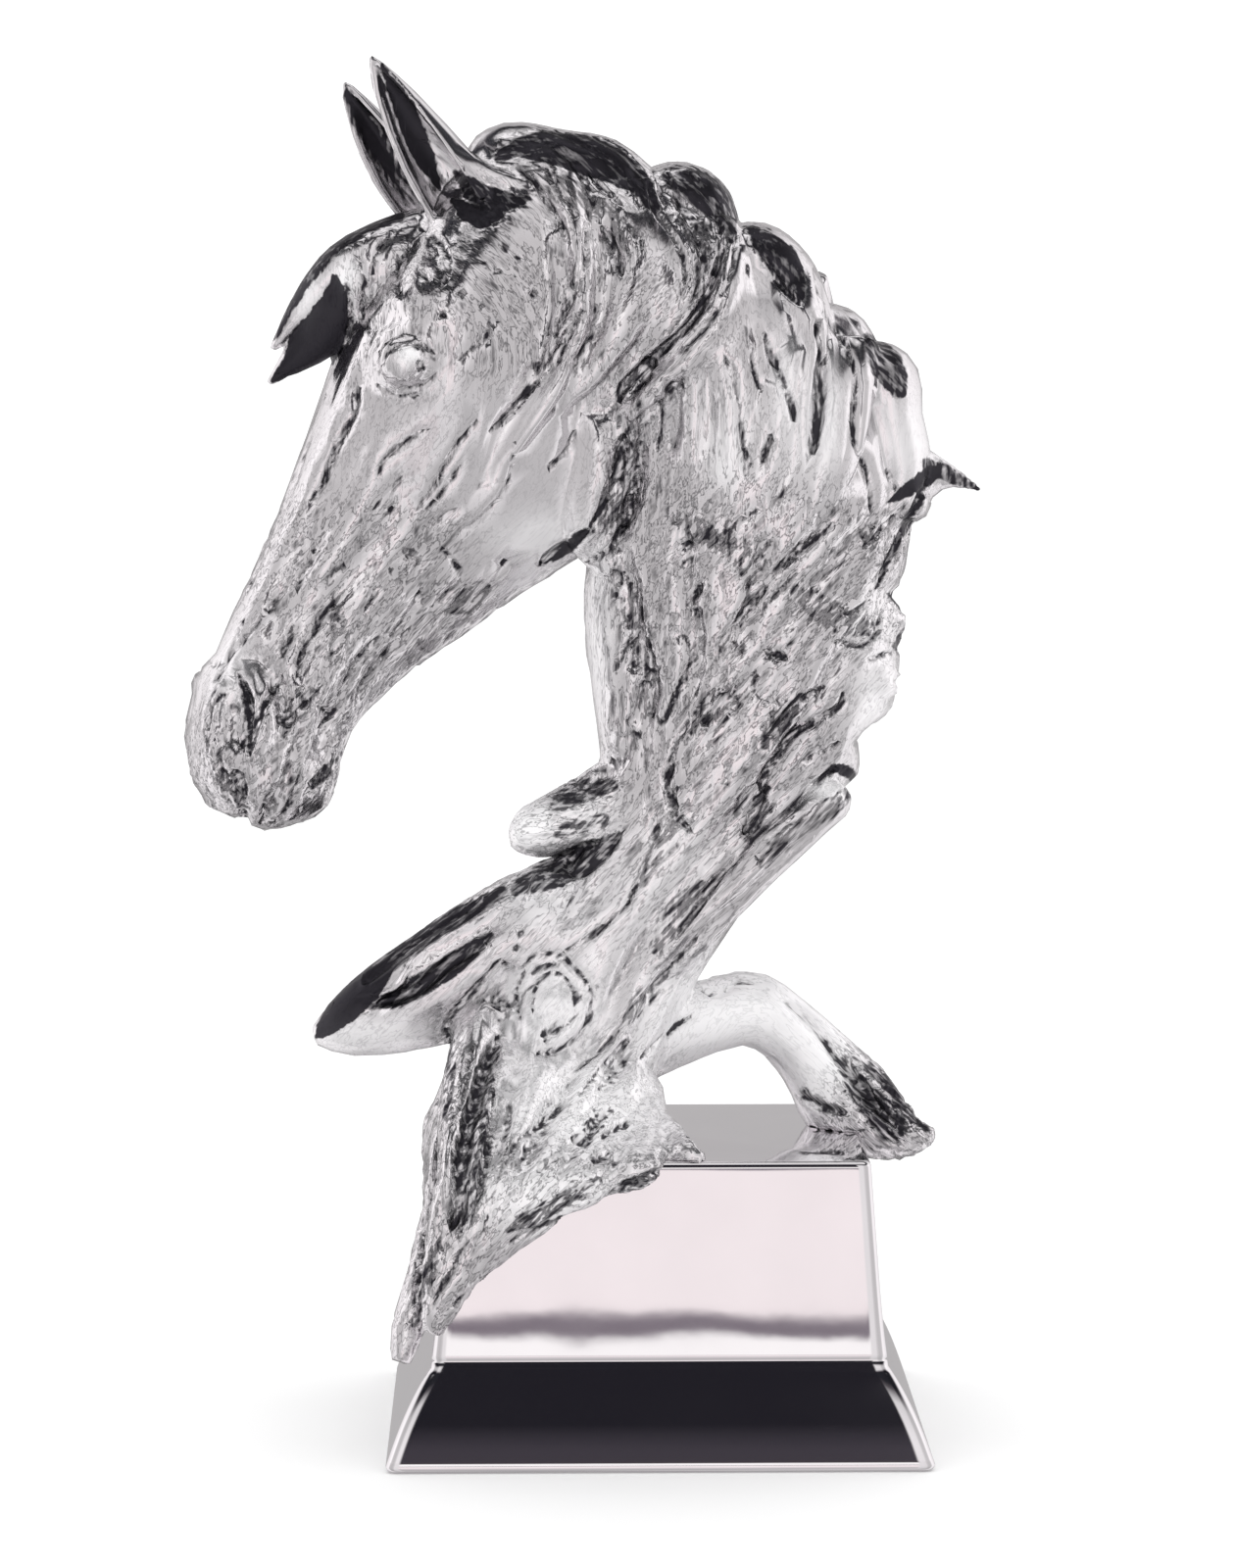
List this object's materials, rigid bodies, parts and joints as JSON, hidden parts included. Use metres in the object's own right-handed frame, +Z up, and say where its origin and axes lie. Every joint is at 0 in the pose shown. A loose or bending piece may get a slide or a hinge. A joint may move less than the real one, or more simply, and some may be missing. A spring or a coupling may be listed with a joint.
{
  "type": "horse head sculpture",
  "caption": "Horse head and mane growing out of driftwood with roots that run down over a flared rectangular plinth; a silvered resin table sculpture.",
  "frame": {"origin": "centre of the plinth's flat underside", "axes": "+Z up, +X along the plinth's front edge towards the side that the horse's back faces, -Y out of the front that the picture shows"},
  "size_m": [0.2017, 0.117, 0.3489],
  "materials": {
    "casting": "silver plated resin, carved like wood grain, polished",
    "plinth": "silver plated resin, smooth and mirror-like"
  },
  "bodies": {
    "root": {"horse_head_on_driftwood": "casting", "plinth": "plinth"}
  },
  "joints": []
}
